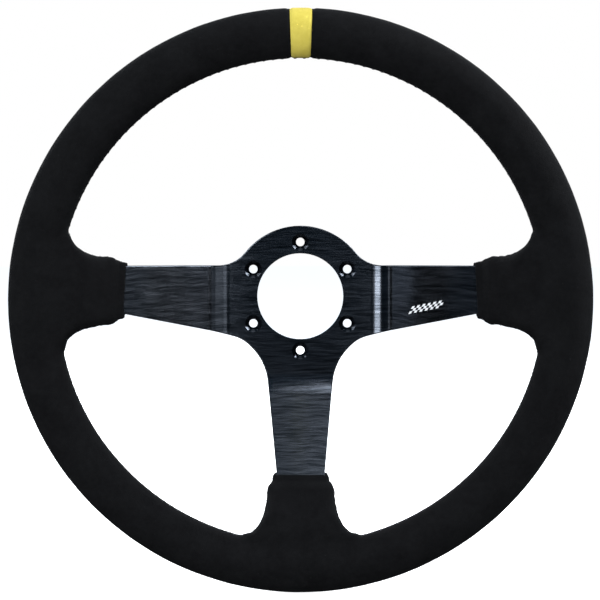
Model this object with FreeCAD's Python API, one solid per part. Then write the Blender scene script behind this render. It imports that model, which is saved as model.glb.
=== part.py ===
"""Dished three-spoke steering wheel with a suede-covered rim and a six-bolt hub plate.

Frame: +X to the driver's right, +Z up, +Y away from the driver, along the steering column.
Origin: centre of the bolt circle, on the hub plate's back face, which is the mounting face.
Each spoke is described in its own plane, with r outwards from the hub's centre and w across it.
"""
import FreeCAD, Part
import math
import os

V = FreeCAD.Vector

# Rim and grip
RIM_RADIUS = 175.0
GRIP_WIDTH = 29.6
GRIP_DEPTH = 27.0
DISH = 76.0
SUEDE = 1.2

# Spoke plate
PLATE = 4.0
HUB_RADIUS = 45.5
BORE_RADIUS = 27.75
BOLT_CIRCLE_RADIUS = 35.0
BOLT_COUNT = 6
BOLT_HOLE_RADIUS = 2.75
COUNTERSINK_RADIUS = 5.5
FRONT_BEND = 20.0
RIM_BEND = 14.0
RIM_BEND_END = 141.0
SPOKE_END = 162.0
SIDE_BEND_START = 45.5
BOTTOM_BEND_START = 50.0
EDGE_ROUND = 0.6
SPOKE_ROOT = 30.5
SIDE_CORNER = 22.0
BOTTOM_CORNER = 36.0

# Spoke edges: the line from (r, w) to (r, w), then straight outwards into the rim
SIDE_UPPER_EDGE = ((56.0, 20.0), (108.0, 21.3))
SIDE_LOWER_EDGE = ((56.0, -22.2), (108.0, -8.3))
BOTTOM_RIGHT_EDGE = ((56.0, 20.95), (108.0, 14.85))
BOTTOM_LEFT_EDGE = ((56.0, -20.95), (108.0, -14.85))
SIDE_MIDDLE = 6.5

# Rim hoop: a channel, open towards the hub, that clamps the flat spoke ends
HOOP_INNER = 152.0
HOOP_OUTER = 167.0
HOOP_WEB = 2.5
HOOP_FLANGE = 2.0
RIVET_RADIUS = 2.5
RIVET_HEAD_RADIUS = 4.2
RIVET_HEAD = 1.6
RIVET_AT = 157.0
RIVET_SPREAD = 8.0
HOOP_MARGIN = 2.0

# Padded sleeves that carry the suede from the rim onto each spoke
SLEEVE_END = 107.5
SLEEVE_END_HALF_WIDTH = 15.7
SLEEVE_SHOULDER = 116.5
SLEEVE_SHOULDER_HALF_WIDTH = 20.3
SLEEVE_ROOT = 126.3
SLEEVE_ROOT_HALF_WIDTH = 22.1
SLEEVE_CORNER = 14.0
SLEEVE_REACH = 152.0
PAD_START = 115.5
PAD_START_HALF_WIDTH = 19.7
PAD_START_HALF_THICKNESS = 4.6
SLEEVE_HALF_THICKNESS = (
    (SLEEVE_END, 3.4),
    (114.5, 3.5),
    (118.0, 6.6),
    (125.0, 8.0),
    (135.0, 9.4),
    (SLEEVE_REACH, 9.8),
)

# Centring marker on top of the rim
MARKER_ANGLE = 4.47
MARKER_GAP = 0.04

# Hand-sewn seams
THREAD_RADIUS = 0.45
STITCH_PITCH = 5.5
STITCH_LENGTH = 5.4
STITCH_SLANT = 28.0
THREAD_CLEARANCE = 0.12
SEAM_START = 109.0
SEAM_START_HALF_WIDTH = 16.4
SEAM_TO_MARKER = 0.6
MARKER_SEAM_INSET = 0.3

RIM_MIDDLE = RIM_RADIUS - GRIP_WIDTH / 2
RIM_INNER = RIM_RADIUS - GRIP_WIDTH
SHEET_JOIN = HUB_RADIUS + 2.5
WELL_BEYOND = 200.0
AXIS = V(0, 1, 0)
ORIGIN = V(0, 0, 0)


def polygon(points):
    """Closed face through the points."""
    return Part.Face(Part.makePolygon(list(points) + [points[0]]))


def flat_prism(points_rw):
    """Solid standing along Y over a polygon given as (r, w)."""
    face = polygon([V(r, -WELL_BEYOND, w) for r, w in points_rw])
    return face.extrude(V(0, 2 * WELL_BEYOND, 0))


def post(radius, r, w):
    """Cylinder along Y through (r, w)."""
    return Part.makeCylinder(radius, 2 * WELL_BEYOND, V(r, -WELL_BEYOND, w), AXIS)


def to_right(shape):
    """A spoke built along r = +X already points right."""
    return shape.copy()


def to_left(shape):
    return shape.mirror(ORIGIN, V(1, 0, 0))


def to_bottom(shape):
    """Turn r = +X to -Z, which takes w = +Z to +X."""
    turned = shape.copy()
    turned.rotate(ORIGIN, AXIS, 90)
    return turned


# ---- The bent sheet ----


def bend_angle(bend_start):
    """Slope angle that joins both bends and gives the full dish."""
    run = RIM_BEND_END - bend_start
    rise = DISH - PLATE / 2
    radii = FRONT_BEND + RIM_BEND
    straight = math.sqrt(run ** 2 + (rise - radii) ** 2 - radii ** 2)
    return math.atan2(rise - radii, run) + math.atan2(radii, straight)


def arc_points(centre, radius, start, sweep):
    """Middle and end of an arc in the r-Y plane; angles in radians from +r towards +Y."""
    angles = (start + sweep / 2, start + sweep)
    return [V(centre.x + radius * math.cos(a), centre.y + radius * math.sin(a), 0) for a in angles]


def sheet_section(bend_start, first_r):
    """Section of the sheet in the r-Y plane: hub flat, bend, slope, bend, flat end in the rim."""
    angle = bend_angle(bend_start)
    front = -PLATE
    rim_front = -DISH - PLATE / 2
    hub_centre = V(bend_start, front - FRONT_BEND, 0)
    rim_centre = V(RIM_BEND_END, rim_front + RIM_BEND, 0)
    up = math.pi / 2
    corner = [V(first_r, front, 0), V(bend_start, front, 0)]
    hub_front = arc_points(hub_centre, FRONT_BEND, up, -angle)
    rim_front_arc = arc_points(rim_centre, RIM_BEND, -up - angle, angle)
    rim_front_start = rim_centre + V(-math.sin(angle), -math.cos(angle), 0) * RIM_BEND
    end = [V(SPOKE_END, rim_front, 0), V(SPOKE_END, rim_front + PLATE, 0)]
    rim_back_start = V(RIM_BEND_END, rim_front + PLATE, 0)
    rim_back_arc = arc_points(rim_centre, RIM_BEND - PLATE, -up, -angle)
    hub_back_start = hub_centre + V(math.sin(angle), math.cos(angle), 0) * (FRONT_BEND + PLATE)
    hub_back = arc_points(hub_centre, FRONT_BEND + PLATE, up - angle, angle)
    edges = [
        Part.makeLine(corner[0], corner[1]),
        Part.Arc(corner[1], hub_front[0], hub_front[1]).toShape(),
        Part.makeLine(hub_front[1], rim_front_start),
        Part.Arc(rim_front_start, rim_front_arc[0], rim_front_arc[1]).toShape(),
        Part.makeLine(rim_front_arc[1], end[0]),
        Part.makeLine(end[0], end[1]),
        Part.makeLine(end[1], rim_back_start),
        Part.Arc(rim_back_start, rim_back_arc[0], rim_back_arc[1]).toShape(),
        Part.makeLine(rim_back_arc[1], hub_back_start),
        Part.Arc(hub_back_start, hub_back[0], hub_back[1]).toShape(),
        Part.makeLine(hub_back[1], V(first_r, 0, 0)),
        Part.makeLine(V(first_r, 0, 0), corner[0]),
    ]
    return Part.Face(Part.Wire(edges))


def dished_sheet():
    """The whole bent sheet before its outline is cut."""
    side = sheet_section(SIDE_BEND_START, 0.0)
    side.translate(V(0, 0, -SHEET_JOIN))
    side = side.extrude(V(0, 0, 2 * SHEET_JOIN))
    bottom = sheet_section(BOTTOM_BEND_START, SHEET_JOIN)
    bottom.translate(V(0, 0, -HUB_RADIUS))
    bottom = bottom.extrude(V(0, 0, 2 * HUB_RADIUS))
    return to_right(side).fuse([to_left(side), to_bottom(bottom)])


def middle_point(r, bend_start):
    """Point of the sheet's middle surface at r, and the direction square to it there."""
    angle = bend_angle(bend_start)
    radius_hub = FRONT_BEND + PLATE / 2
    radius_rim = RIM_BEND - PLATE / 2
    hub_y = -PLATE - FRONT_BEND
    rim_y = -DISH + radius_rim
    if r >= RIM_BEND_END:
        return V(r, -DISH, 0), V(0, -1, 0)
    if r > RIM_BEND_END - radius_rim * math.sin(angle):
        lean = math.asin((RIM_BEND_END - r) / radius_rim)
        return V(r, rim_y - radius_rim * math.cos(lean), 0), V(-math.sin(lean), -math.cos(lean), 0)
    bend_r = bend_start + radius_hub * math.sin(angle)
    bend_y = hub_y + radius_hub * math.cos(angle)
    return V(r, bend_y - (r - bend_r) * math.tan(angle), 0), V(-math.sin(angle), -math.cos(angle), 0)


# ---- Spoke plate ----


def corner_fill(edge, radius):
    """Rounded inside corner between the hub disc and a spoke's edge."""
    (r0, w0), (r1, w1) = edge
    length = math.hypot(r1 - r0, w1 - w0)
    along = ((r1 - r0) / length, (w1 - w0) / length)
    side = 1 if w0 > 0 else -1
    out = (-along[1] * side, along[0] * side)
    offset = out[0] * r0 + out[1] * w0 + radius
    reach = math.sqrt((HUB_RADIUS + radius) ** 2 - offset ** 2)
    centre = (out[0] * offset + along[0] * reach, out[1] * offset + along[1] * reach)
    touch = (centre[0] - out[0] * radius, centre[1] - out[1] * radius)
    return flat_prism([(0, 0), centre, touch]).cut(post(radius, *centre))


def edge_at(edge, r):
    (r0, w0), (r1, w1) = edge
    return w0 + (w1 - w0) * (r - r0) / (r1 - r0)


def spoke_outline(upper, lower, corner):
    """Front outline of one spoke with both of its hub corners."""
    taper_end = upper[1][0]
    points = [
        (SPOKE_ROOT, edge_at(upper, SPOKE_ROOT)),
        upper[1],
        (SPOKE_END, upper[1][1]),
        (SPOKE_END, lower[1][1]),
        (taper_end, lower[1][1]),
        (SPOKE_ROOT, edge_at(lower, SPOKE_ROOT)),
    ]
    return flat_prism(points).fuse([corner_fill(upper, corner), corner_fill(lower, corner)])


def on_bolt_circle(make):
    """One shape at each bolt position, the first at the top."""
    shapes = []
    for i in range(BOLT_COUNT):
        angle = math.radians(90 + i * 360 / BOLT_COUNT)
        shapes.append(make(BOLT_CIRCLE_RADIUS * math.cos(angle), BOLT_CIRCLE_RADIUS * math.sin(angle)))
    return shapes


def bolt_hole(x, z):
    """Clearance hole with a 90 degree countersink on the driver's side."""
    depth = COUNTERSINK_RADIUS - BOLT_HOLE_RADIUS
    sink = Part.makeCone(COUNTERSINK_RADIUS, BOLT_HOLE_RADIUS, depth, V(x, -PLATE, z), AXIS)
    return post(BOLT_HOLE_RADIUS, x, z).fuse(sink)


def front_edges(shape):
    """Edges where the driver's side of the sheet meets its cut outline, clear of the hoop."""
    chosen = []
    for edge in shape.Edges:
        middle = edge.valueAt((edge.FirstParameter + edge.LastParameter) / 2)
        faces = shape.ancestorsOfType(edge, Part.Face)
        leans = sorted(face.normalAt(*face.Surface.parameter(middle)).y for face in faces)
        meets_front = len(leans) == 2 and leans[0] < -0.1 and abs(leans[1]) < 1e-6
        if meets_front and max(abs(middle.x), -middle.z) < HOOP_INNER - HOOP_MARGIN:
            chosen.append(edge)
    return chosen


def spoke_plate():
    side = spoke_outline(SIDE_UPPER_EDGE, SIDE_LOWER_EDGE, SIDE_CORNER)
    bottom = spoke_outline(BOTTOM_RIGHT_EDGE, BOTTOM_LEFT_EDGE, BOTTOM_CORNER)
    outline = post(HUB_RADIUS, 0, 0).fuse([to_right(side), to_left(side), to_bottom(bottom)])
    plate = outline.common(dished_sheet()).removeSplitter()
    plate = plate.makeFillet(EDGE_ROUND, front_edges(plate))
    return plate.cut([post(BORE_RADIUS, 0, 0)] + on_bolt_circle(bolt_hole))


# ---- Rim hoop and rivets ----


def ring(points_ry):
    """Solid turned about the column's axis from a section given as (r, y)."""
    return polygon([V(r, y, 0) for r, y in points_ry]).revolve(ORIGIN, AXIS, 360)


def rim_hoop():
    inside = PLATE / 2
    outside = inside + HOOP_FLANGE
    floor = HOOP_OUTER - HOOP_WEB
    return ring([
        (HOOP_INNER, -DISH - outside),
        (HOOP_OUTER, -DISH - outside),
        (HOOP_OUTER, -DISH + outside),
        (HOOP_INNER, -DISH + outside),
        (HOOP_INNER, -DISH + inside),
        (floor, -DISH + inside),
        (floor, -DISH - inside),
        (HOOP_INNER, -DISH - inside),
    ])


def rivet_places():
    """(place, r, w) of each rivet, two at every spoke end."""
    spokes = ((to_right, SIDE_MIDDLE), (to_left, SIDE_MIDDLE), (to_bottom, 0.0))
    return [(place, RIVET_AT, middle + side * RIVET_SPREAD) for place, middle in spokes for side in (-1, 1)]


def rivet_head(y, direction, r, w):
    """Domed head: the cap of a sphere that is one head height tall."""
    dome = (RIVET_HEAD_RADIUS ** 2 + RIVET_HEAD ** 2) / (2 * RIVET_HEAD)
    ball = Part.makeSphere(dome, V(r, y + direction * (RIVET_HEAD - dome), w))
    slab = Part.makeCylinder(RIVET_HEAD_RADIUS, RIVET_HEAD, V(r, y, w), V(0, direction, 0))
    return ball.common(slab)


def rivet(r, w):
    grip = PLATE / 2 + HOOP_FLANGE
    shank = Part.makeCylinder(RIVET_RADIUS, 2 * grip, V(r, -DISH - grip, w), AXIS)
    heads = [rivet_head(-DISH - grip, -1, r, w), rivet_head(-DISH + grip, 1, r, w)]
    return shank.fuse(heads).removeSplitter()


# ---- Foam, pads and suede ----


def grip_ring(inset):
    """The oval grip, less an even inset all round."""
    centre = V(RIM_MIDDLE, -DISH, 0)
    half_width = GRIP_WIDTH / 2 - inset
    half_depth = GRIP_DEPTH / 2 - inset
    oval = Part.Ellipse(centre + V(half_width, 0, 0), centre + V(0, half_depth, 0), centre)
    return Part.Face(Part.Wire(oval.toShape())).revolve(ORIGIN, AXIS, 360)


def sleeve(bend_start, middle, first_r, inset):
    """Padded sleeve round one spoke: its front outline crossed with its side outline."""
    at_end = first_r == SLEEVE_END
    halves = (
        (first_r, SLEEVE_END_HALF_WIDTH if at_end else PAD_START_HALF_WIDTH),
        (SLEEVE_SHOULDER, SLEEVE_SHOULDER_HALF_WIDTH),
        (SLEEVE_ROOT, SLEEVE_ROOT_HALF_WIDTH),
        (SLEEVE_REACH, SLEEVE_ROOT_HALF_WIDTH),
    )
    right = [(r, middle + half - inset) for r, half in halves]
    left = [(r, middle - half + inset) for r, half in reversed(halves)]
    front = flat_prism(right + left)
    corners = [sleeve_corner(side, middle, inset) for side in (-1, 1)]
    front = front.fuse(corners)
    stations = [(r, half) for r, half in SLEEVE_HALF_THICKNESS if r > first_r]
    stations.insert(0, (first_r, SLEEVE_HALF_THICKNESS[0][1] if at_end else PAD_START_HALF_THICKNESS))
    driver_side = []
    column_side = []
    for r, half in stations:
        point, normal = middle_point(r, bend_start)
        driver_side.append(point + normal * (half - inset))
        column_side.append(point - normal * (half - inset))
    outline = polygon(driver_side + column_side[::-1])
    outline.translate(V(0, 0, -HUB_RADIUS))
    return front.common(outline.extrude(V(0, 0, 3 * HUB_RADIUS)))


def sleeve_corner(side, middle, inset):
    """Rounded inside corner between the sleeve's edge and the rim's inner edge."""
    centre_r, centre_w = sleeve_corner_centre(side, middle)
    out = SLEEVE_REACH / math.hypot(centre_r, centre_w)
    block = flat_prism([
        (centre_r, middle),
        (centre_r, centre_w),
        (centre_r * out, centre_w * out),
        (SLEEVE_REACH, middle),
    ])
    return block.cut(post(SLEEVE_CORNER + inset, centre_r, centre_w))


def sleeve_corner_centre(side, middle):
    """Centre (r, w) of that corner's round, which touches the rim's inner edge."""
    centre_w = middle + side * (SLEEVE_ROOT_HALF_WIDTH + SLEEVE_CORNER)
    centre_r = math.sqrt((RIM_INNER - SLEEVE_CORNER) ** 2 - centre_w ** 2)
    return centre_r, centre_w


def each_spoke(first_r, inset):
    """The three sleeves, in the order right, left, bottom."""
    side = sleeve(SIDE_BEND_START, SIDE_MIDDLE, first_r, inset)
    bottom = sleeve(BOTTOM_BEND_START, 0.0, first_r, inset)
    return [to_right(side), to_left(side), to_bottom(bottom)]


def marker_wedge(widen):
    """Wedge above the hub that holds the centring marker."""
    half = math.radians(MARKER_ANGLE / 2 + widen)
    far = WELL_BEYOND * math.tan(half)
    return flat_prism([(0, 0), (far, WELL_BEYOND), (-far, WELL_BEYOND)])


# ---- Thread ----


def stitch(point, across, along):
    """One short straight stitch that crosses the seam at a slant."""
    slant = math.radians(STITCH_SLANT)
    direction = across * math.cos(slant) + along * math.sin(slant)
    start = point - direction * (STITCH_LENGTH / 2)
    return Part.makeCylinder(THREAD_RADIUS, STITCH_LENGTH, start, direction)


def rim_stitches(first_angle, last_angle):
    """Stitches round the rim's inner edge, angles in degrees from +X towards +Z."""
    radius = RIM_INNER - THREAD_RADIUS - THREAD_CLEARANCE
    sweep = math.radians(last_angle - first_angle)
    count = round(abs(sweep) * radius / STITCH_PITCH)
    stitches = []
    for i in range(count):
        angle = math.radians(first_angle) + sweep * (i + 0.5) / count
        out = V(math.cos(angle), 0, math.sin(angle))
        along = V(-math.sin(angle), 0, math.cos(angle))
        stitches.append(stitch(V(0, -DISH, 0) + out * radius, AXIS, along))
    return stitches


def sleeve_stitches(bend_start, middle, side):
    """Stitches along one edge of a sleeve, from the suede's end to its root."""
    gap = THREAD_RADIUS + THREAD_CLEARANCE
    corners = (
        (SEAM_START, SEAM_START_HALF_WIDTH),
        (SLEEVE_SHOULDER, SLEEVE_SHOULDER_HALF_WIDTH),
        (SLEEVE_ROOT, SLEEVE_ROOT_HALF_WIDTH),
    )
    stitches = []
    for (r0, w0), (r1, w1) in zip(corners, corners[1:]):
        length = math.hypot(r1 - r0, w1 - w0)
        count = max(1, round(length / STITCH_PITCH))
        for i in range(count):
            step = (i + 0.5) / count
            r = r0 + (r1 - r0) * step
            w = middle + side * (w0 + (w1 - w0) * step + gap)
            centre, normal = middle_point(r, bend_start)
            along = V(-normal.y, normal.x, 0)
            stitches.append(stitch(V(centre.x, centre.y, w), normal, along))
    return stitches


def sleeve_rim_angle(middle, side):
    """Angle from the spoke's axis at which the sleeve's corner has run into the rim."""
    centre_r, centre_w = sleeve_corner_centre(side, middle)
    return math.degrees(math.atan2(centre_w, centre_r))


def seams():
    """The four hand-sewn seams, each a group of stitches, and the marker's own short seam."""
    upper = sleeve_rim_angle(SIDE_MIDDLE, 1)
    lower = sleeve_rim_angle(SIDE_MIDDLE, -1)
    bottom = -90 + sleeve_rim_angle(0.0, 1)
    half_marker = MARKER_ANGLE / 2
    marker_half_seam = half_marker - MARKER_SEAM_INSET
    upper_right = rim_stitches(90 - half_marker - SEAM_TO_MARKER, upper)
    upper_right += [to_right(s) for s in sleeve_stitches(SIDE_BEND_START, SIDE_MIDDLE, 1)]
    lower_right = rim_stitches(lower, bottom)
    lower_right += [to_right(s) for s in sleeve_stitches(SIDE_BEND_START, SIDE_MIDDLE, -1)]
    lower_right += [to_bottom(s) for s in sleeve_stitches(BOTTOM_BEND_START, 0.0, 1)]
    return {
        "seam_thread_upper_right": upper_right,
        "seam_thread_upper_left": [to_left(s) for s in upper_right],
        "seam_thread_lower_right": lower_right,
        "seam_thread_lower_left": [to_left(s) for s in lower_right],
        "marker_thread": rim_stitches(90 - marker_half_seam, 90 + marker_half_seam),
    }


def build():
    """Every sub-part by node name."""
    plate = spoke_plate()
    hoop = rim_hoop()
    rivets = [place(rivet(r, w)) for place, r, w in rivet_places()]
    plate = plate.cut(rivets)
    hoop = hoop.cut(rivets)
    foam_envelope = grip_ring(SUEDE)
    foam = foam_envelope.cut([plate, hoop] + rivets)
    pad_envelopes = each_spoke(PAD_START, SUEDE)
    pads = [pad.cut([foam_envelope, plate]) for pad in pad_envelopes]
    skin = grip_ring(0.0).fuse(each_spoke(SLEEVE_END, 0.0))
    skin = skin.cut([foam_envelope] + pad_envelopes).cut(plate)
    shell = grip_ring(0.0).cut(foam_envelope)
    nodes = {
        "spoke_plate": [plate],
        "rim_hoop": [hoop],
        "spoke_rivets": rivets,
        "grip_foam": [foam],
        "spoke_pad_right": [pads[0]],
        "spoke_pad_left": [pads[1]],
        "spoke_pad_bottom": [pads[2]],
        "suede_cover": [skin.cut(marker_wedge(MARKER_GAP))],
        "marker_band": [shell.common(marker_wedge(0.0))],
    }
    nodes.update(seams())
    return nodes


def main():
    os.makedirs("parts", exist_ok=True)
    for name, shapes in build().items():
        solids = [solid for shape in shapes for solid in shape.Solids]
        shape = solids[0] if len(solids) == 1 else Part.makeCompound(solids)
        shape.exportStep(os.path.join("parts", name + ".step"))
        box = shape.BoundBox
        print(name, len(solids), "solids", round(shape.Volume / 1000, 2), "cm3", shape.isValid(),
              [round(v, 1) for v in (box.XMin, box.YMin, box.ZMin, box.XMax, box.YMax, box.ZMax)])


main()
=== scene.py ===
"""Looks of the dished suede steering wheel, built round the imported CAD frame.

Shapes are worked out in millimetres, in the CAD's own frame (+X right, +Y away from the driver,
+Z up, origin at the hub), and every mesh is made in metres. Each spoke is described by r,
outwards from the hub's centre, and w, across the spoke, measured from the spoke's own middle.
"""
import math

import bmesh
import bpy
import numpy as np
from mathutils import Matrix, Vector, kdtree, noise

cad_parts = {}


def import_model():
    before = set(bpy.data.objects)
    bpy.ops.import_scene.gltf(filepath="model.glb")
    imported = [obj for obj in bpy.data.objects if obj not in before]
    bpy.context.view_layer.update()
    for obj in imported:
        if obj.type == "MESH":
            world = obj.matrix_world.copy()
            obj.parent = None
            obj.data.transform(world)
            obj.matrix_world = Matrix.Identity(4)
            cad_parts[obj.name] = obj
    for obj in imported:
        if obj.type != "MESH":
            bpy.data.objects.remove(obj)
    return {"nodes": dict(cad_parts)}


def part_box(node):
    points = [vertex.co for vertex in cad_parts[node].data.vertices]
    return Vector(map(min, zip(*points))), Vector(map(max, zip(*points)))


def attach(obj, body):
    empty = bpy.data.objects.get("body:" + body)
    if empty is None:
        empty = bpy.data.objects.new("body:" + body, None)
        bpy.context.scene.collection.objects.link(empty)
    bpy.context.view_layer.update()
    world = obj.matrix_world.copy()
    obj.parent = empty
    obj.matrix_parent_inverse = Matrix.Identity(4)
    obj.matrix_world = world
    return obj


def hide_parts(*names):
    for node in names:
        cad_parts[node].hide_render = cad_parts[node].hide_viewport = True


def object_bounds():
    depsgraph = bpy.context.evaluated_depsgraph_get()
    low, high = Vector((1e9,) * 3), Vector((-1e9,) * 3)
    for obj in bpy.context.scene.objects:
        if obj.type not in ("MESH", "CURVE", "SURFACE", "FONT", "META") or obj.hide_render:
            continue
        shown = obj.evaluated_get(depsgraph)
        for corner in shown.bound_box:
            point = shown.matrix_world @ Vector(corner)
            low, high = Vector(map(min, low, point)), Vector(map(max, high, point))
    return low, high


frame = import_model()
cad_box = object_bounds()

MM = 0.001

# ---- Sizes read from the frame, in millimetres ----

cover_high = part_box("suede_cover")[1] / MM
band_low, band_high = (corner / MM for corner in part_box("marker_band"))

RIM_RADIUS = cover_high.x
GRIP_HALF_DEPTH = (band_high.y - band_low.y) / 2
DISH = -(band_high.y + band_low.y) / 2
GRIP_HALF_WIDTH = 14.8
RIM_MIDDLE = RIM_RADIUS - GRIP_HALF_WIDTH
RIM_INNER = RIM_RADIUS - 2 * GRIP_HALF_WIDTH

# ---- Sizes shared with the CAD source, in millimetres ----

SUEDE = 1.2
PLATE = 4.0
FRONT_BEND = 20.0
RIM_BEND = 14.0
RIM_BEND_END = 141.0
SIDE_BEND_START = 45.5
BOTTOM_BEND_START = 50.0
SIDE_MIDDLE = 6.5
SLEEVE_END = 107.5
SIDE_HEM_SLANT = 0.055
SLEEVE_CORNER = 14.0
SLEEVE_ROOT_HALF_WIDTH = 22.1
MARKER_HALF_ANGLE = math.radians(4.47 / 2)
HOOP_INNER = 152.0
HOOP_OUTER = 167.0
PAD_START = 115.5
STITCH_PITCH = 5.5

# ---- Soft shapes: (r, size) pairs joined by rounded lines ----

SLEEVE_WIDTH_KNOTS = (
    (104.0, 15.6),
    (108.0, 16.6),
    (111.5, 17.7),
    (116.0, 20.5),
    (122.0, 20.9),
    (128.0, 22.1),
    (160.0, 24.0),
)
SLEEVE_DEPTH_KNOTS = (
    (104.0, 3.5),
    (112.0, 3.7),
    (118.5, 7.0),
    (126.0, 8.3),
    (138.0, 9.6),
    (160.0, 10.2),
)
KNOT_ROUNDING = 3.0
KNOT_STEP = 0.1

# Sleeve section: how much thinner it is at its edges, how round its edges are (more so towards the
# rim), and how much of the rounded corner at the rim is used
SLEEVE_CROWN = 0.10
EDGE_ROUNDNESS = 0.55
EDGE_ROUNDNESS_GAIN = 0.03
EDGE_ROUNDNESS_RANGE = (0.75, 0.96)
CORNER_SHARE = 0.97
BLEND = 5.0

# Where a point counts as on a sleeve, and as near its hem
SLEEVE_FROM = 90.0
SLEEVE_SHORT_OF_RIM = 4.0
SLEEVE_SIDE_LIMIT = 40.0
HEM_REACH = 12.0
HEM_SIDE_REACH = 30.0

# Cover mesh: voxel size, how near a seam its faces are split, and how far its rough sleeves reach
COVER_CELL = 1.7
SEAM_REFINE = 3.4
SLEEVE_OVERLAP = 5.0

# Suede relief, as (height, distance from the line, width), in millimetres
SEAM_GROOVE = (-0.45, 0.0, 0.9)
SEAM_SWELL = (0.18, 2.4, 1.1)
STITCH_PULL = (-0.20, 0.0, 2.4)
HEM_ROLL = (0.32, 0.9, 1.0)
HEM_GROOVE = (-0.30, 3.2, 0.9)
MARKER_TUCK = (-0.75, 0.0, 1.1)
BAND_TUCK = (-0.60, 0.0, 1.0)
BAND_SEAM_GROOVE = (-0.40, 0.0, 0.9)
BAND_SEAM_REACH = 12.0

# Where the cover is cut at the marker: above this height, and this far before and past the cut
MARKER_SEEK_ABOVE = 100.0
MARKER_SEEK_BEFORE = 1.0
MARKER_SEEK_PAST = 30.0

# Suede unevenness, as (height, size of the lumps, seed)
BROAD_LUMPS = (0.10, 16.0, 3)
SMALL_LUMPS = (0.05, 6.0, 7)
SHOULDER_TUCKS = (0.8, 4.5, 11)
BAND_LUMPS = (0.08, 7.0, 5)
SHOULDER_AT = 7.0
SHOULDER_WIDTH = 6.0
SHOULDER_DEPTH = 5.0

# Foam under the suede
CORE_INSET = 1.35
HOOP_DEPTH = 8.0
PAD_END = 142.0

# Seams: step between their points, and how far short of the marker's middle they stop, in half markers
SEAM_STEP = 0.5
SEAM_MARKER_GAP = 1.1

# Stitches: half length across the seam, lean along it, height at the middle, and how deep the ends dive
THREAD_RADIUS = 0.34
STITCH_REACH = 2.3
STITCH_LEAN = 0.55
STITCH_RISE = 0.034
STITCH_DIVE = 1.2
TUBE_END_TURN = 0.35
TUBE_BLUNTNESS = 0.35

# Chequered strip on the right spoke
MARK_START = 70.0
MARK_LENGTH = 19.0
MARK_HEIGHT = 5.0
MARK_BELOW_HUB = 10.5
MARK_RISE = 0.27
MARK_SLANT = 0.45
MARK_COLUMNS = 12
MARK_ROWS = 3
MARK_THICKNESS = 0.02


def unit(vectors):
    return vectors / np.maximum(np.linalg.norm(vectors, axis=-1, keepdims=True), 1e-9)


def rounded_profile(knots, rounding):
    """Function through the knots whose corners are rounded by averaging over a short window."""
    first, last = knots[0][0], knots[-1][0]
    grid = np.arange(first - rounding, last + rounding, KNOT_STEP)
    line = np.interp(grid, *np.transpose(knots))
    window = np.hanning(round(rounding / KNOT_STEP))
    padded = np.pad(line, len(window), mode="edge")
    smooth = np.convolve(padded, window / window.sum(), mode="same")[len(window):-len(window)]
    return lambda x: np.interp(x, grid, smooth)


sleeve_width = rounded_profile(SLEEVE_WIDTH_KNOTS, KNOT_ROUNDING)
sleeve_depth = rounded_profile(SLEEVE_DEPTH_KNOTS, KNOT_ROUNDING)


def bend_angle(bend_start):
    """Slope angle that joins both bends of a spoke and gives the full dish."""
    run = RIM_BEND_END - bend_start
    rise = DISH - PLATE / 2
    radii = FRONT_BEND + RIM_BEND
    straight = math.sqrt(run ** 2 + (rise - radii) ** 2 - radii ** 2)
    return math.atan2(rise - radii, run) + math.atan2(radii, straight)


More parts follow.
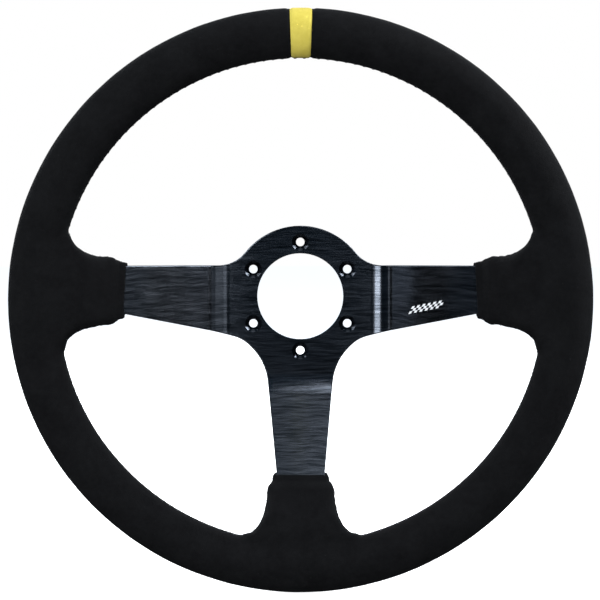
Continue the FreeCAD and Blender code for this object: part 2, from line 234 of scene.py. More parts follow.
class Spoke:
    """One spoke's own directions, and the maps between them and the wheel's frame."""

    def __init__(self, name, outward, across, bend_start, middle):
        self.name = name
        self.outward = np.array(outward, float)
        self.across = np.array(across, float)
        self.angle = bend_angle(bend_start)
        self.middle = middle

    def local(self, points):
        """r, w, and height above the sheet's middle surface, towards the driver."""
        r = points @ self.outward
        w = points @ self.across - self.middle
        radius = RIM_BEND - PLATE / 2
        back = RIM_BEND_END - r
        ahead = radius - DISH - points[:, 1]
        lean = np.clip(np.arctan2(back, ahead), 0, self.angle)
        sin, cos = np.sin(lean), np.cos(lean)
        height = back * sin + ahead * cos - radius
        r_on_sheet = RIM_BEND_END - radius * sin - (back * cos - ahead * sin) * cos
        return r_on_sheet, w, height

    def point(self, r, w, height=0.0):
        """Points in the wheel's frame, from arrays of local coordinates."""
        r, w, height = np.broadcast_arrays(*(np.asarray(v, float) for v in (r, w, height)))
        radius = RIM_BEND - PLATE / 2
        bend_start = RIM_BEND_END - radius * math.sin(self.angle)
        lean = np.arcsin(np.clip((RIM_BEND_END - r) / radius, 0, math.sin(self.angle)))
        y = radius - DISH - radius * np.cos(lean)
        y = y + np.maximum(bend_start - r, 0) * math.tan(self.angle)
        sheet = r[..., None] * self.outward + (w[..., None] + self.middle) * self.across
        sheet[..., 1] = y
        normal = -np.sin(lean)[..., None] * self.outward
        normal[..., 1] = -np.cos(lean)
        return sheet + height[..., None] * normal

    def corner_centre(self, side):
        """(r, w) of the centre of the rounded corner between the sleeve and the rim, on one side."""
        from_axis = self.middle + side * (SLEEVE_ROOT_HALF_WIDTH + SLEEVE_CORNER)
        return math.sqrt((RIM_INNER - SLEEVE_CORNER) ** 2 - from_axis ** 2), from_axis - self.middle

    def hem_direction(self):
        """Direction square to the sleeve's open end; the side sleeves start nearer the hub at the top."""
        slant = SIDE_HEM_SLANT if self.middle else 0.0
        return unit(self.outward + self.across * slant)

    def past_hem(self, points):
        """How far each point is inside the sleeve, from its open end."""
        return (points - self.point(SLEEVE_END, 0.0)) @ self.hem_direction()

    def at_hem(self, points):
        """Whether each point is near the sleeve's open end."""
        beside = np.abs(points @ self.across - self.middle)
        return (np.abs(self.past_hem(points)) < HEM_REACH) & (beside < HEM_SIDE_REACH)

    def on_sleeve(self, points):
        """Whether each point is on the sleeve, short of the rim."""
        r, w, _ = self.local(points)
        short_of_rim = (r < RIM_INNER - SLEEVE_SHORT_OF_RIM) & (points @ self.outward > SLEEVE_FROM)
        return short_of_rim & (np.abs(w) < SLEEVE_SIDE_LIMIT)

    def half_width(self, r, w):
        """Half width of the sleeve, seen from the driver."""
        centre = np.where(w > 0, self.corner_centre(1)[0], self.corner_centre(-1)[0])
        into = np.clip(r - centre, 0, CORNER_SHARE * SLEEVE_CORNER)
        return sleeve_width(r) + SLEEVE_CORNER - np.sqrt(SLEEVE_CORNER ** 2 - into ** 2)


SPOKES = (
    Spoke("right", (1, 0, 0), (0, 0, 1), SIDE_BEND_START, SIDE_MIDDLE),
    Spoke("bottom", (0, 0, -1), (1, 0, 0), BOTTOM_BEND_START, 0.0),
    Spoke("left", (-1, 0, 0), (0, 0, 1), SIDE_BEND_START, SIDE_MIDDLE),
)


def grip_distance(points, inset=0.0):
    """Distance outside the oval grip."""
    section = np.stack((np.hypot(points[:, 0], points[:, 2]) - RIM_MIDDLE, points[:, 1] + DISH), axis=1)
    half = np.array((GRIP_HALF_WIDTH - inset, GRIP_HALF_DEPTH - inset))
    share = np.linalg.norm(section / half, axis=1)
    steepness = np.linalg.norm(section / half ** 2, axis=1)
    return share * (share - 1) / np.maximum(steepness, 1e-9)


def sleeve_distance(points, spoke, inset=0.0):
    """Distance outside one sleeve: a flat pad with fully rounded edges, wrapped along the sheet."""
    r, w, height = spoke.local(points)
    half_width = spoke.half_width(r, w) - inset
    crown = 1 - SLEEVE_CROWN * np.clip(w / half_width, -1, 1) ** 2
    half_depth = (sleeve_depth(r) - inset) * crown
    roundness = EDGE_ROUNDNESS + EDGE_ROUNDNESS_GAIN * (r - SLEEVE_END)
    edge = np.clip(roundness, *EDGE_ROUNDNESS_RANGE) * half_depth
    over = np.stack((np.abs(w) - half_width + edge, np.abs(height) - half_depth + edge), axis=1)
    outside = np.linalg.norm(np.maximum(over, 0), axis=1) + np.minimum(over.max(axis=1), 0) - edge
    return np.maximum(outside, r - RIM_MIDDLE)


def blended(a, b, width):
    """Smooth union of two distances."""
    share = np.maximum(width - np.abs(a - b), 0) / width
    return np.minimum(a, b) - share ** 2 * width / 4


def suede_distance(points):
    """Distance outside the smooth suede surface."""
    total = grip_distance(points)
    for spoke in SPOKES:
        near = points @ spoke.outward > SLEEVE_FROM
        total[near] = blended(total[near], sleeve_distance(points[near], spoke), BLEND)
    return total


def gradient(distance, points):
    """Outward direction and steepness of a distance function."""
    step = 0.05
    columns = []
    for axis in np.eye(3):
        ahead = distance(points + axis * step)
        behind = distance(points - axis * step)
        columns.append((ahead - behind) / (2 * step))
    return np.stack(columns, axis=1)


def settle(distance, points, rounds=6):
    """Move points onto the surface where the distance is zero."""
    for _ in range(rounds):
        slope = gradient(distance, points)
        size = np.maximum((slope ** 2).sum(axis=1), 0.05)
        points = points - slope * np.clip(distance(points) / size, -3, 3)[:, None]
    return points


# ---- Mesh helpers ----


def new_object(name, points, faces):
    """Smooth-shaded mesh object from millimetre points."""
    corners = [tuple(point) for point in np.asarray(points) * MM]
    mesh = bpy.data.meshes.new(name)
    mesh.from_pydata(corners, [], [tuple(int(i) for i in face) for face in faces])
    mesh.update()
    mesh.polygons.foreach_set("use_smooth", [True] * len(mesh.polygons))
    made = bpy.data.objects.new(name, mesh)
    bpy.context.scene.collection.objects.link(made)
    return made


def get_points(obj):
    flat = np.empty(len(obj.data.vertices) * 3, np.float32)
    obj.data.vertices.foreach_get("co", flat)
    return flat.reshape(-1, 3).astype(float) / MM


def set_points(obj, points):
    obj.data.vertices.foreach_set("co", (points * MM).astype(np.float32).ravel())
    obj.data.update()


def grid_faces(rows, columns, close_rows=False, close_columns=False):
    """Quads of a grid whose vertex number is row * columns + column."""
    faces = []
    for i in range(rows if close_rows else rows - 1):
        for j in range(columns if close_columns else columns - 1):
            a = i * columns + j
            b = i * columns + (j + 1) % columns
            c = (i + 1) % rows * columns + (j + 1) % columns
            d = (i + 1) % rows * columns + j
            faces.append((a, b, c, d))
    return faces


def ring_surface(section, count, first=0.0, last=2 * math.pi):
    """Points of a section (across, along Y) carried round the column's axis, and their faces."""
    closed = last - first > 2 * math.pi - 1e-6
    angles = np.linspace(first, last, count, endpoint=not closed)
    section = np.asarray(section, float)
    radius = RIM_MIDDLE + section[:, 0]
    x = np.outer(np.cos(angles), radius)
    z = np.outer(np.sin(angles), radius)
    y = np.broadcast_to(section[:, 1] - DISH, x.shape)
    points = np.stack((x, y, z), axis=-1).reshape(-1, 3)
    return points, grid_faces(count, len(section), closed, True)


def oval(half_width, half_depth, count):
    turn = np.linspace(0, 2 * math.pi, count, endpoint=False)
    return np.stack((half_width * np.cos(turn), half_depth * np.sin(turn)), axis=1)


def joined(name, parts):
    """One object from several parts, each of points and faces."""
    points = np.concatenate([part_points for part_points, _ in parts])
    faces = []
    start = 0
    for part_points, part_faces in parts:
        faces += [tuple(i + start for i in face) for face in part_faces]
        start += len(part_points)
    return new_object(name, points, faces)


def remeshed(name, parts, cell):
    """One closed skin round several overlapping closed parts."""
    made = joined(name, parts)
    build = bmesh.new()
    build.from_mesh(made.data)
    bmesh.ops.recalc_face_normals(build, faces=build.faces)
    build.to_mesh(made.data)
    build.free()
    remesh = made.modifiers.new("skin", "REMESH")
    remesh.mode = "VOXEL"
    remesh.voxel_size = cell * MM
    remesh.use_smooth_shade = True
    return applied(made)


def applied(obj):
    """The object with its modifiers made permanent."""
    evaluated = obj.evaluated_get(bpy.context.evaluated_depsgraph_get())
    mesh = bpy.data.meshes.new_from_object(evaluated)
    mesh.name = obj.name
    obj.modifiers.clear()
    obj.data = mesh
    return obj


def cut_away(obj, centre, direction, near):
    """Remove what lies behind a plane, but only among the faces whose middle near() accepts."""
    build = bmesh.new()
    build.from_mesh(obj.data)
    middles = np.array([face.calc_center_median() for face in build.faces]) / MM
    chosen = [face for face, take in zip(build.faces, near(middles)) if take]
    edges = {edge for face in chosen for edge in face.edges}
    verts = {vert for face in chosen for vert in face.verts}
    bmesh.ops.bisect_plane(
        build,
        geom=sorted(verts, key=lambda v: v.index) + sorted(edges, key=lambda e: e.index) + chosen,
        dist=1e-7,
        plane_co=Vector(centre) * MM,
        plane_no=Vector(direction),
        clear_inner=True,
    )
    loose = [vert for vert in build.verts if not vert.link_faces]
    bmesh.ops.delete(build, geom=loose, context="VERTS")
    build.to_mesh(obj.data)
    build.free()
    obj.data.polygons.foreach_set("use_smooth", [True] * len(obj.data.polygons))


# ---- Seams ----


def sleeve_edge(spoke, side):
    """Seam points from the sleeve's end, along one edge, to where its corner touches the rim."""
    centre_r = spoke.corner_centre(side)[0]
    root = centre_r + SLEEVE_CORNER * centre_r / (RIM_INNER - SLEEVE_CORNER)
    r = np.linspace(SLEEVE_END + 0.5, root, 90)
    return spoke.point(r, side * spoke.half_width(r, np.full_like(r, side)))


def rim_arc(first, last):
    """Seam points along the rim's inner edge between two angles."""
    turn = np.linspace(first, last, 400)
    return np.stack((RIM_INNER * np.cos(turn), np.full_like(turn, -DISH), RIM_INNER * np.sin(turn)), axis=1)


def angle_of(point):
    return math.atan2(point[2], point[0])


def evenly(points, step):
    """The same line, resampled at an even step."""
    along = np.concatenate(([0], np.cumsum(np.linalg.norm(np.diff(points, axis=0), axis=1))))
    count = max(2, round(along[-1] / step))
    wanted = np.linspace(0, along[-1], count + 1)
    return np.stack([np.interp(wanted, along, points[:, k]) for k in range(3)], axis=1)


def seam_lines():
    """The four seams by name, each a line of points on the smooth suede."""
    right, bottom = SPOKES[:2]
    top = math.pi / 2
    gap = MARKER_HALF_ANGLE * SEAM_MARKER_GAP
    upper = sleeve_edge(right, 1)
    lower = sleeve_edge(right, -1)
    foot = sleeve_edge(bottom, 1)
    to_marker = rim_arc(angle_of(upper[-1]), top - gap)
    to_foot = rim_arc(angle_of(lower[-1]), angle_of(foot[-1]))
    upper_right = np.concatenate((upper, to_marker[1:]))
    lower_right = np.concatenate((lower, to_foot[1:-1], foot[::-1]))
    mirror = np.array((-1, 1, 1))
    lines = {
        "upper_right": upper_right,
        "lower_right": lower_right,
        "upper_left": upper_right * mirror,
        "lower_left": lower_right * mirror,
    }
    for name, line in lines.items():
        lines[name] = evenly(settle(suede_distance, evenly(line, SEAM_STEP)), SEAM_STEP)
    return lines


# ---- Soft pieces ----


def section_of_sleeve(count):
    """Unit rounded-rectangle section, as (across, height) pairs between -1 and 1."""
    turn = np.linspace(0, 2 * math.pi, count, endpoint=False)
    cos, sin = np.cos(turn), np.sin(turn)
    return np.sign(cos) * np.abs(cos) ** 0.5, np.sign(sin) * np.abs(sin) ** 0.5


def sleeve_loft(spoke, inset, first, last, rows=24, count=32):
    """Closed skin of one sleeve between two radii, pulled in by the inset."""
    across, height = section_of_sleeve(count)
    points = []
    for r in np.linspace(first, last, rows):
        half_width = spoke.half_width(np.full(count, r), across) - inset
        half_depth = float(sleeve_depth(r)) - inset
        points.append(spoke.point(np.full(count, r), across * half_width, height * half_depth))
    faces = grid_faces(rows, count, close_columns=True)
    faces += [tuple(reversed(range(count))), tuple(range((rows - 1) * count, rows * count))]
    return np.concatenate(points), faces


def refine_near(obj, places, reach):
    """Split the faces near the given places in four."""
    tree = kd_tree(places)
    build = bmesh.new()
    build.from_mesh(obj.data)
    close = []
    for edge in build.edges:
        middle = (edge.verts[0].co + edge.verts[1].co) / 2 / MM
        if tree.find(middle)[2] < reach:
            close.append(edge)
    bmesh.ops.subdivide_edges(build, edges=close, cuts=1, use_grid_fill=True)
    build.to_mesh(obj.data)
    build.free()


def kd_tree(points):
    tree = kdtree.KDTree(len(points))
    for number, point in enumerate(points):
        tree.insert(point, number)
    tree.balance()
    return tree


def bump_at(distance, centre, width):
    """A smooth rise of one at the centre, gone within about two widths."""
    return np.exp(-(((distance - centre) / width) ** 2))


def ridge(distance, shape):
    """Height of a ridge or groove that is stated as (height, centre, width)."""
    height, centre, width = shape
    return height * bump_at(distance, centre, width)


def unevenness(points, shape):
    """Smooth random heights, from a stated (height, size of the lumps, seed)."""
    height, size, seed = shape
    shift = Vector((seed, 2 * seed, 3 * seed))
    return height * np.array([noise.noise(Vector(p) / size + shift) for p in points])


def seam_field(points, seams):
    """For each point, how far the nearest seam is and how far along it, in stitches."""
    lines = np.concatenate(list(seams.values()))
    along = np.concatenate([np.arange(len(line)) * SEAM_STEP for line in seams.values()])
    tree = kd_tree(lines)
    found = [tree.find(Vector(point)) for point in points]
    away = np.array([item[2] for item in found])
    stitches = along[[item[1] for item in found]] / STITCH_PITCH
    return away, stitches


def sewn_relief(points, seams):
    """Height that sewing, hems, the marker's tucks and handling give the suede, in millimetres."""
    away, stitches = seam_field(points, seams)
    pull = 0.5 + 0.5 * np.cos(2 * math.pi * stitches)
    relief = ridge(away, SEAM_GROOVE) + ridge(away, SEAM_SWELL) + pull * ridge(away, STITCH_PULL)
    relief += unevenness(points, BROAD_LUMPS) + unevenness(points, SMALL_LUMPS)
    tucks = unevenness(points, SHOULDER_TUCKS) * bump_at(away, 0, SHOULDER_DEPTH)
    for spoke in SPOKES:
        past_hem = spoke.past_hem(points)
        hem = ridge(past_hem, HEM_ROLL) + ridge(past_hem, HEM_GROOVE)
        shoulder = bump_at(past_hem, SHOULDER_AT, SHOULDER_WIDTH) * tucks
        relief += np.where(spoke.on_sleeve(points), hem + shoulder, 0)
    angle = np.abs(np.arctan2(points[:, 0], points[:, 2]))
    return relief + ridge((angle - MARKER_HALF_ANGLE) * RIM_MIDDLE, MARKER_TUCK)


def beside_marker(side):
    """Function that says which points are on the top of the rim, at one edge of the marker."""

    def chosen(points):
        along = points[:, 0] * side
        beside = (along > -MARKER_SEEK_BEFORE) & (along < MARKER_SEEK_PAST)
        return (points[:, 2] > MARKER_SEEK_ABOVE) & beside

    return chosen


def suede_cover(seams):
    """The cover: sleeves and grip in one smooth skin, open at the three hems and at the marker."""
    parts = [ring_surface(oval(GRIP_HALF_WIDTH, GRIP_HALF_DEPTH, 32), 180)]
    for spoke in SPOKES:
        parts.append(sleeve_loft(spoke, 0.0, SLEEVE_END - SLEEVE_OVERLAP, RIM_INNER + SLEEVE_OVERLAP))
    cover = remeshed("suede_grip_cover", parts, COVER_CELL)
    set_points(cover, settle(suede_distance, get_points(cover), 4))
    refine_near(cover, np.concatenate(list(seams.values())), SEAM_REFINE)
    points = settle(suede_distance, get_points(cover))
    outward = unit(gradient(suede_distance, points))
    set_points(cover, points + outward * sewn_relief(points, seams)[:, None])
    for spoke in SPOKES:
        cut_away(cover, spoke.point(SLEEVE_END, 0.0), spoke.hem_direction(), spoke.at_hem)
    for side in (1, -1):
        edge_angle = MARKER_HALF_ANGLE * side
        away = (side * math.cos(edge_angle), 0, -side * math.sin(edge_angle))
        cut_away(cover, (0, 0, 0), away, beside_marker(side))
    thicken(cover, SUEDE)
    return cover


def thicken(obj, thickness):
    """Turn a skin into a shell of the given thickness, keeping its outside where it is."""
    shell = obj.modifiers.new("thickness", "SOLIDIFY")
    shell.thickness = thickness * MM
    shell.offset = -1
    return applied(obj)


def marker_band():
    """The suede marker, tucked in along both edges."""
    section = oval(GRIP_HALF_WIDTH, GRIP_HALF_DEPTH, 120)
    top = math.pi / 2
    points, faces = ring_surface(section, 30, top - MARKER_HALF_ANGLE, top + MARKER_HALF_ANGLE)
    angle = np.abs(np.arctan2(points[:, 0], points[:, 2]))
    from_edge = (MARKER_HALF_ANGLE - angle) * RIM_MIDDLE
    near_seam = np.linalg.norm(points - np.array((0, -DISH, RIM_INNER)), axis=1) < BAND_SEAM_REACH
    relief = ridge(from_edge, BAND_TUCK) + unevenness(points, BAND_LUMPS)
    relief += np.where(near_seam, ridge(np.abs(points[:, 1] + DISH), BAND_SEAM_GROOVE), 0)
    outward = unit(gradient(grip_distance, points))
    band = new_object("yellow_marker", points + outward * relief[:, None], faces)
    thicken(band, SUEDE)
    return band


def tube(path, radius, sides=8):
    """Round tube along a path, with pointed ends."""
    path = np.asarray(path, float)
    ahead = unit(np.gradient(path, axis=0))
    side = unit(np.cross(ahead, (0.37, 0.61, 0.70)))
    up = np.cross(ahead, side)
    turn = np.linspace(0, 2 * math.pi, sides, endpoint=False)
    turn_along = np.linspace(TUBE_END_TURN, math.pi - TUBE_END_TURN, len(path))
    swell = radius * np.sin(turn_along) ** TUBE_BLUNTNESS
    ring = np.cos(turn)[None, :, None] * side[:, None] + np.sin(turn)[None, :, None] * up[:, None]
    points = (path[:, None] + ring * swell[:, None, None]).reshape(-1, 3)
    faces = grid_faces(len(path), sides, close_columns=True)
    faces += [tuple(reversed(range(sides))), tuple(range(len(points) - sides, len(points)))]
    return points, faces


def stitches_along(name, line, distance):
    """Slanted stitches that bridge one seam, each diving into the suede at both ends."""
    ahead = unit(np.gradient(line, axis=0))
    outward = unit(gradient(distance, line))
    across = np.cross(outward, ahead)
    share = np.linspace(-1, 1, 9)
    rise = STITCH_RISE - STITCH_DIVE * np.abs(share) ** 6
    parts = []
    spacing = round(STITCH_PITCH / SEAM_STEP)
    for k in range(spacing // 2, len(line), spacing):
        slant = across[k] * STITCH_REACH + ahead[k] * STITCH_REACH * STITCH_LEAN
        path = line[k] + share[:, None] * slant
        path = settle(distance, path, 4)
        path = path + unit(gradient(distance, path)) * rise[:, None]
        parts.append(tube(path, THREAD_RADIUS))
    return joined(name, parts)


def grip_core():
    """Moulded foam ring under the cover, with the channel in which the metal hoop lies."""
    outside = ring_surface(oval(GRIP_HALF_WIDTH - CORE_INSET, GRIP_HALF_DEPTH - CORE_INSET, 40), 240)
    low, high = HOOP_INNER - RIM_MIDDLE, HOOP_OUTER - RIM_MIDDLE
    half = HOOP_DEPTH / 2
    channel = ((low, -half), (low, half), (high, half), (high, -half))
    return joined("foam_grip_core", [outside, ring_surface(channel, 240)])


def spoke_pad(spoke):
    """Foam that fills one sleeve round its spoke."""
    points, faces = sleeve_loft(spoke, CORE_INSET, PAD_START, PAD_END)
    return new_object("foam_spoke_pad_" + spoke.name, points, faces)


def spoke_mark(spoke):
    """Plain slanted chequered strip on the right spoke's face."""
    parts = []
    width, height = MARK_LENGTH / MARK_COLUMNS, MARK_HEIGHT / MARK_ROWS
    for column in range(MARK_COLUMNS):
        for row in range(MARK_ROWS):
            if (column + row) % 2:
                continue
            along = np.array((0, 1, 1, 0)) * width + column * width
            up = np.array((0, 0, 1, 1)) * height + row * height
            r = MARK_START + along + up * MARK_SLANT
            w = up + along * MARK_RISE - MARK_BELOW_HUB - spoke.middle
            top = spoke.point(r, w, PLATE / 2 + MARK_THICKNESS)
            bottom = spoke.point(r, w, PLATE / 2 - MARK_THICKNESS)
            faces = [(0, 1, 2, 3), (7, 6, 5, 4)]
            faces += [(i, i + 4, (i + 1) % 4 + 4, (i + 1) % 4) for i in range(4)]
            parts.append((np.concatenate((top, bottom)), faces))
    mark = joined("spoke_mark", parts)
    mark.data.polygons.foreach_set("use_smooth", [False] * len(mark.data.polygons))
    return mark


# ---- Materials ----

# Colours, as the darkest and lightest linear RGB of each finish
BLACK_SUEDE = ((0.0032, 0.0032, 0.0035), (0.0062, 0.0063, 0.0067))
YELLOW_SUEDE = ((0.46, 0.37, 0.058), (0.55, 0.455, 0.087))
BLACK_THREAD = ((0.010, 0.010, 0.011), (0.05, 0.05, 0.055))
BLACK_ANODISED = ((0.014, 0.017, 0.021), (0.066, 0.073, 0.085))
BARE_ALUMINIUM = ((0.60, 0.61, 0.63), (0.78, 0.79, 0.80))
GREY_FOAM = ((0.012, 0.012, 0.013), (0.035, 0.035, 0.037))
MARK_INK = ((0.62, 0.63, 0.65), (0.90, 0.90, 0.90))
BLACK_SHEEN = 0.01
YELLOW_SHEEN = 0.05
BLACK_SHEEN_TINT = (0.5, 0.52, 0.56)
YELLOW_SHEEN_TINT = (1.0, 0.95, 0.7)

# Where nearly all the values of a noise pattern lie
NOISE_RANGE = (0.3, 0.7)

# Suede: sizes of its patterns and depths of its relief in millimetres, and how much lint it shows
NAP_SIZE = 14.0
NAP_SHARE = 0.6
STROKE_SIZE = 3.0
STROKE_STRETCH = (1, 2.5, 1)
STROKE_DEPTH = 0.10
FIBRE_SIZE = 0.55
FIBRE_DEPTH = 0.22
LINT_SIZE = 1.3
LINT_RANGE = (0.775, 0.80)
LINT_SHARE = 0.5
LINT_BRIGHTNESS = 2.2
SUEDE_ROUGHNESS = (0.88, 0.98)

# Brushing: its lines are long along X and Y, and sway a little up and down
SWAY_SIZE = 30.0
SWAY = 1.2
FINE_LINE = 0.42
FINE_STRETCH = (30, 30, 1)
FINE_DEPTH = 0.018
BROAD_LINE = 1.3
BROAD_STRETCH = (16, 16, 1)
BROAD_DEPTH = 0.05
BRUSHED_TONE_RANGE = (0.34, 0.66)
ANODISED_ROUGHNESS = (0.15, 0.21)

# Roughness and relief depth, in millimetres, of the smaller finishes
ALUMINIUM_ROUGHNESS = (0.30, 0.48)
ALUMINIUM_DEPTH = 0.02
FOAM_ROUGHNESS = (0.97, 0.85)
FOAM_DEPTH = 0.25
THREAD_ROUGHNESS = (0.62, 0.42)
THREAD_DEPTH = 0.06
INK_ROUGHNESS = (0.45, 0.6)


class Finish:
    """A material's nodes, with short ways to add and join them. Patterns are laid out in millimetres."""

    def __init__(self, name):
        self.material = bpy.data.materials.new(name)
        self.material.use_nodes = True
        self.tree = self.material.node_tree
        self.tree.nodes.clear()
        place = self.add("TexCoord").outputs["Object"]
        self.place = self.add("Mapping", Vector=place, Scale=(1000, 1000, 1000)).outputs[0]

    def add(self, kind, settings=None, **inputs):
        node = self.tree.nodes.new("ShaderNode" + kind)
        for name, value in (settings or {}).items():
            setattr(node, name, value)
        for name, value in inputs.items():
            key = int(name[1:]) if name[0] == "_" else name.replace("_", " ")
            socket = node.inputs[key]
            if isinstance(value, bpy.types.NodeSocket):
                self.tree.links.new(value, socket)
            else:
                socket.default_value = value
        return node

    def noise(self, size, stretch=(1, 1, 1), detail=3.0, rough=0.5):
        """Random pattern, 0 to 1, whose grains are of the given size in millimetres."""
        scale = tuple(1 / (size * s) for s in stretch)
        place = self.add("Mapping", Vector=self.place, Scale=scale).outputs[0]
        return self.add("TexNoise", Vector=place, Scale=1.0, Detail=detail, Roughness=rough).outputs[0]

    def spread(self, value, low, high, out_low=0.0, out_high=1.0):
        """The value's range from low to high, spread smoothly over another range."""
        limits = {"From_Min": low, "From_Max": high, "To_Min": out_low, "To_Max": out_high}
        return self.add("MapRange", {"interpolation_type": "SMOOTHSTEP"}, Value=value, **limits).outputs[0]

    def mix(self, share, first, second):
        """A blend of two colours."""
        node = self.add("Mix", {"data_type": "RGBA"})
        for number, value in ((0, share), (6, first), (7, second)):
            if isinstance(value, bpy.types.NodeSocket):
                self.tree.links.new(value, node.inputs[number])
            else:
                node.inputs[number].default_value = value if number == 0 else (*value, 1)
        return node.outputs[2]

    def math(self, operation, first, second):
        return self.add("Math", {"operation": operation}, _0=first, _1=second).outputs[0]

    def bump(self, height, depth, under=None):
        """Surface relief of the given depth in millimetres."""
        inputs = {"Height": height, "Distance": depth * MM, "Strength": 1.0}
        if under is not None:
            inputs["Normal"] = under
        return self.add("Bump", **inputs).outputs[0]

    def surface(self, **inputs):
        """Ends the material with one Principled shader."""
        shader = self.add("BsdfPrincipled", **inputs)
        self.add("OutputMaterial", Surface=shader.outputs[0])
        return self.material


def suede(name, shades, sheen, sheen_tint):
    """Brushed suede: cloudy nap, short fibres, a few pale specks of lint, a soft sheen."""
    finish = Finish(name)
    nap = finish.spread(finish.noise(NAP_SIZE, detail=4.0, rough=0.6), *NOISE_RANGE)
    strokes = finish.spread(finish.noise(STROKE_SIZE, STROKE_STRETCH, 3.0), *NOISE_RANGE)
    nap_part = finish.math("MULTIPLY", nap, NAP_SHARE)
    stroke_part = finish.math("MULTIPLY", strokes, 1 - NAP_SHARE)
    cloud = finish.math("ADD", nap_part, stroke_part)
    fibres = finish.noise(FIBRE_SIZE, detail=2.0, rough=0.7)
    colour = finish.mix(cloud, *shades)
    fleck = finish.spread(finish.noise(LINT_SIZE, detail=1.0), *LINT_RANGE)
    pale = tuple(LINT_BRIGHTNESS * channel for channel in shades[1])
    lint = finish.mix(finish.math("MULTIPLY", fleck, LINT_SHARE), (0, 0, 0), pale)
    adding = {"data_type": "RGBA", "blend_type": "ADD"}
    colour = finish.add("Mix", adding, _0=1.0, _6=colour, _7=lint).outputs[2]
    relief = finish.bump(fibres, FIBRE_DEPTH)
    relief = finish.bump(strokes, STROKE_DEPTH, relief)
    roughness = finish.spread(cloud, 0.0, 1.0, *SUEDE_ROUGHNESS)
    return finish.surface(
        Base_Color=colour,
        Roughness=roughness,
        Normal=relief,
        Sheen_Weight=sheen,
        Sheen_Roughness=0.45,
        Sheen_Tint=(*sheen_tint, 1),
        Specular_IOR_Level=0.05,
    )


def anodised(name):
    """Black anodised aluminium, brushed straight across the wheel before it was dyed."""
    finish = Finish(name)
    sway = finish.spread(finish.noise(SWAY_SIZE, (1, 1, 1), 1.0), 0.2, 0.8, -SWAY, SWAY)
    shift = finish.add("CombineXYZ", Z=sway).outputs[0]
    finish.place = finish.add("VectorMath", _0=finish.place, _1=shift).outputs[0]
    fine = finish.noise(FINE_LINE, FINE_STRETCH, 2.0, 0.6)
    broad = finish.noise(BROAD_LINE, BROAD_STRETCH, 3.0, 0.6)
    lines = finish.math("ADD", finish.math("MULTIPLY", fine, 0.5), finish.math("MULTIPLY", broad, 0.5))
    tone = finish.spread(lines, *BRUSHED_TONE_RANGE)
    colour = finish.mix(tone, *BLACK_ANODISED)
    roughness = finish.spread(lines, *NOISE_RANGE, *ANODISED_ROUGHNESS)
    across = finish.add("CombineXYZ", X=0.0, Y=0.1, Z=1.0).outputs[0]
    relief = finish.bump(broad, BROAD_DEPTH)
    relief = finish.bump(fine, FINE_DEPTH, relief)
    return finish.surface(
        Base_Color=colour,
        Metallic=1.0,
        Roughness=roughness,
        Anisotropic=1.0,
        Tangent=across,
        Normal=relief,
    )


def bare_aluminium(name):
    """Mill-finish aluminium with faint rolling lines and dull patches."""
    finish = Finish(name)
    lines = finish.noise(0.5, (1, 12, 1), 3.0, 0.6)
    patches = finish.noise(8.0, detail=3.0)
    colour = finish.mix(finish.spread(patches, *NOISE_RANGE), *BARE_ALUMINIUM)
    roughness = finish.spread(lines, *NOISE_RANGE, *ALUMINIUM_ROUGHNESS)
    relief = finish.bump(lines, ALUMINIUM_DEPTH)
    return finish.surface(Base_Color=colour, Metallic=1.0, Roughness=roughness, Normal=relief)


def foam(name):
    """Closed-cell grip foam: dull dark grey with small pits."""
    finish = Finish(name)
    cells = finish.add("TexVoronoi", {"feature": "F1"}, Vector=finish.place, Scale=0.9).outputs[0]
    pits = finish.spread(cells, 0.1, 0.5)
    colour = finish.mix(pits, *GREY_FOAM)
    roughness = finish.spread(pits, 0, 1, *FOAM_ROUGHNESS)
    return finish.surface(Base_Color=colour, Roughness=roughness, Normal=finish.bump(pits, FOAM_DEPTH))


def thread(name, shades):
    """Waxed sewing thread: fine twisted strands with a slight gloss."""
    finish = Finish(name)
    diagonal = {"bands_direction": "DIAGONAL"}
    wave = finish.add("TexWave", diagonal, Vector=finish.place, Scale=0.9, Distortion=1.5)
    strands = finish.spread(wave.outputs[1], 0.2, 0.8)
    colour = finish.mix(strands, *shades)
    roughness = finish.spread(strands, 0, 1, *THREAD_ROUGHNESS)
    return finish.surface(Base_Color=colour, Roughness=roughness, Normal=finish.bump(strands, THREAD_DEPTH))


def mark_ink(name):
    """Pale matt marking through which a little of the brushing shows."""
    finish = Finish(name)
    lines = finish.noise(0.5, (30, 1, 1), 2.0)
    colour = finish.mix(finish.spread(lines, *NOISE_RANGE), *MARK_INK)
    return finish.surface(Base_Color=colour, Roughness=finish.spread(lines, *NOISE_RANGE, *INK_ROUGHNESS))


def dress(obj, material):
    obj.data.materials.clear()
    obj.data.materials.append(material)


def place_piece(piece, material, replaced=()):
    """Gives a piece its material, hangs it under the root body, and hides the CAD nodes it stands in for.
    """
    dress(piece, material)
    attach(piece, "root")
    if replaced:
        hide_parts(*replaced)


# ---- Studio ----

CAMERA_DISTANCE = 0.948
CAMERA_AZIMUTH = -0.245
CAMERA_ELEVATION = 3.10
CAMERA_LENS = 95.05
AIM_RIGHT = -0.00051
AIM_UP = 0.00161
SENSOR_WIDTH = 36
FLOOR_GAP = 0.0006
FLOOR_RADIUS = 6.0
POWER_PER_RADIANCE = 4
SOFTBOX_COLOUR = (0.95, 0.97, 1.0)

# Linear RGB of the surroundings, as the camera sees them and as they light the wheel
BACKDROP_SEEN = (1, 1, 1)
BACKDROP_LIT = (0.08, 0.15, 0.22)
FLOOR_SEEN = (0.8, 0.8, 0.8)
FLOOR_LIT = (0.1, 0.1, 0.1)
GLOW_SEEN = (0.9, 0.9, 0.9)
GLOW_LIT = (0, 0, 0)


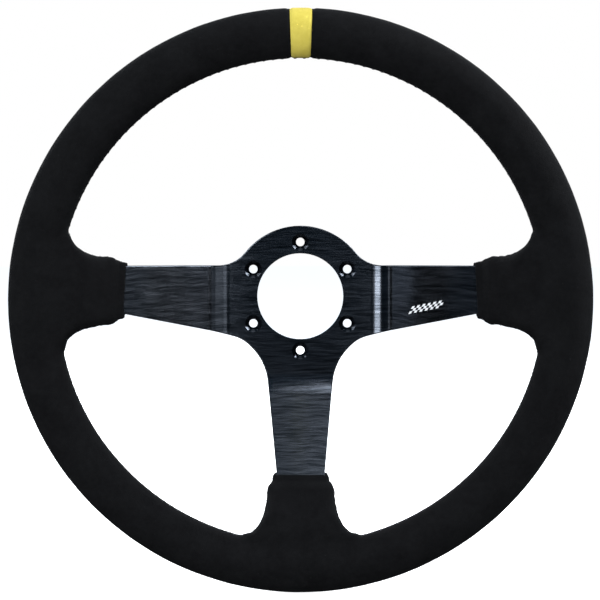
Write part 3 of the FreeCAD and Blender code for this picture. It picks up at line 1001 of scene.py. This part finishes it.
def direction(azimuth, elevation):
    """Unit vector towards a place round the wheel; azimuth 0 faces the driver, positive is to the right."""
    a, e = math.radians(azimuth), math.radians(elevation)
    return Vector((math.sin(a) * math.cos(e), -math.cos(a) * math.cos(e), math.sin(e)))


def softbox(name, azimuth, elevation, distance, width, height, radiance):
    """Rectangular light that faces the wheel."""
    data = bpy.data.lights.new(name, "AREA")
    data.shape = "RECTANGLE"
    data.size = width
    data.size_y = height
    data.energy = POWER_PER_RADIANCE * radiance * width * height
    data.color = SOFTBOX_COLOUR
    lamp = bpy.data.objects.new(name, data)
    lamp.location = Vector((0, -DISH * MM, 0)) + direction(azimuth, elevation) * distance
    lamp.rotation_euler = (-direction(azimuth, elevation)).to_track_quat("-Z", "Y").to_euler()
    lamp.visible_camera = False
    bpy.context.scene.collection.objects.link(lamp)


# name, azimuth, elevation, distance, width, height, radiance
SOFTBOXES = (
    ("left_key", -19.8, 5, 1.6, 0.49, 0.8, 11.8),
    ("left_halo", -19, 5, 1.6, 0.76, 0.8, 3.6),
    ("left_strip", -67, 5, 1.6, 0.10, 1.0, 2.2),
    ("left_high", -88, 38, 1.6, 0.5, 0.8, 7.0),
    ("right_near", 13.5, 5, 1.6, 0.37, 0.8, 2.3),
    ("right_far", 36.5, 5, 1.6, 0.88, 0.8, 1.5),
    ("right_high", 90, 38, 1.6, 0.42, 0.8, 26.0),
    ("top", 0, 86, 1.6, 1.0, 1.0, 0.9),
    ("front_top", 8, 48, 1.3, 0.22, 0.4, 8.5),
    ("low_front", 60, -6, 0.9, 0.25, 0.10, 1.2),
    ("rear_left", -150, 25, 1.6, 1.0, 1.0, 5.0),
    ("rear_right", 150, 25, 1.6, 1.0, 1.0, 5.0),
)


def lights():
    for settings in SOFTBOXES:
        softbox(*settings)


def seen_or_lit(tree, seen, lit):
    """Colour that is one thing to the camera and another as a source of light."""
    ray = tree.nodes.new("ShaderNodeLightPath")
    mix = tree.nodes.new("ShaderNodeMix")
    mix.data_type = "RGBA"
    tree.links.new(ray.outputs["Is Camera Ray"], mix.inputs[0])
    mix.inputs[6].default_value = (*lit, 1)
    mix.inputs[7].default_value = (*seen, 1)
    return mix.outputs[2]


def world():
    made = bpy.data.worlds.new("studio")
    made.use_nodes = True
    tree = made.node_tree
    colour = seen_or_lit(tree, BACKDROP_SEEN, BACKDROP_LIT)
    tree.links.new(colour, tree.nodes["Background"].inputs[0])
    bpy.context.scene.world = made


def floor():
    """Pale floor just under the rim; its underside lets the camera through."""
    build = bmesh.new()
    bmesh.ops.create_circle(build, cap_ends=True, cap_tris=False, segments=96, radius=FLOOR_RADIUS)
    mesh = bpy.data.meshes.new("floor")
    build.to_mesh(mesh)
    build.free()
    made = bpy.data.objects.new("floor", mesh)
    made.location.z = cad_box[0].z - FLOOR_GAP
    bpy.context.scene.collection.objects.link(made)
    material = bpy.data.materials.new("floor")
    material.use_nodes = True
    tree = material.node_tree
    tree.nodes.clear()
    paint = tree.nodes.new("ShaderNodeBsdfDiffuse")
    tree.links.new(seen_or_lit(tree, FLOOR_SEEN, FLOOR_LIT), paint.inputs[0])
    glow = tree.nodes.new("ShaderNodeEmission")
    tree.links.new(seen_or_lit(tree, GLOW_SEEN, GLOW_LIT), glow.inputs[0])
    both = tree.nodes.new("ShaderNodeAddShader")
    tree.links.new(paint.outputs[0], both.inputs[0])
    tree.links.new(glow.outputs[0], both.inputs[1])
    clear = tree.nodes.new("ShaderNodeBsdfTransparent")
    side = tree.nodes.new("ShaderNodeNewGeometry")
    choose = tree.nodes.new("ShaderNodeMixShader")
    tree.links.new(side.outputs["Backfacing"], choose.inputs[0])
    tree.links.new(both.outputs[0], choose.inputs[1])
    tree.links.new(clear.outputs[0], choose.inputs[2])
    out = tree.nodes.new("ShaderNodeOutputMaterial")
    tree.links.new(choose.outputs[0], out.inputs[0])
    mesh.materials.append(material)


def camera():
    data = bpy.data.cameras.new("camera")
    data.sensor_width = SENSOR_WIDTH
    data.lens = CAMERA_LENS
    made = bpy.data.objects.new("camera", data)
    towards = direction(CAMERA_AZIMUTH, CAMERA_ELEVATION)
    aim = Vector((AIM_RIGHT, -DISH * MM, AIM_UP))
    made.location = aim + towards * CAMERA_DISTANCE
    made.rotation_euler = (-towards).to_track_quat("-Z", "Y").to_euler()
    bpy.context.scene.collection.objects.link(made)
    bpy.context.scene.camera = made


# ---- The wheel ----


def main():
    bpy.context.scene.view_settings.view_transform = "Standard"
    black = suede("black_suede", BLACK_SUEDE, BLACK_SHEEN, BLACK_SHEEN_TINT)
    yellow = suede("yellow_suede", YELLOW_SUEDE, YELLOW_SHEEN, YELLOW_SHEEN_TINT)
    sewing = thread("sewing_thread", BLACK_THREAD)
    padding = foam("grip_foam")
    bare = bare_aluminium("bare_aluminium")
    seams = seam_lines()

    cover = suede_cover(seams)
    place_piece(cover, black, ["suede_cover"])
    band = marker_band()
    place_piece(band, yellow, ["marker_band"])
    core = grip_core()
    place_piece(core, padding, ["grip_foam"])
    for spoke in SPOKES:
        pad = spoke_pad(spoke)
        place_piece(pad, padding, ["spoke_pad_" + spoke.name])
    for name, line in seams.items():
        sewn = stitches_along("stitches_" + name, line, suede_distance)
        place_piece(sewn, sewing, ["seam_thread_" + name])
    top = math.pi / 2
    marker_line = evenly(rim_arc(top + MARKER_HALF_ANGLE, top - MARKER_HALF_ANGLE), SEAM_STEP)
    sewn = stitches_along("stitches_marker", marker_line, grip_distance)
    place_piece(sewn, sewing, ["marker_thread"])
    place_piece(spoke_mark(SPOKES[0]), mark_ink("mark"))

    dress(frame["nodes"]["spoke_plate"], anodised("anodised_plate"))
    dress(frame["nodes"]["rim_hoop"], bare)
    dress(frame["nodes"]["spoke_rivets"], bare)

    world()
    floor()
    lights()
    camera()


main()
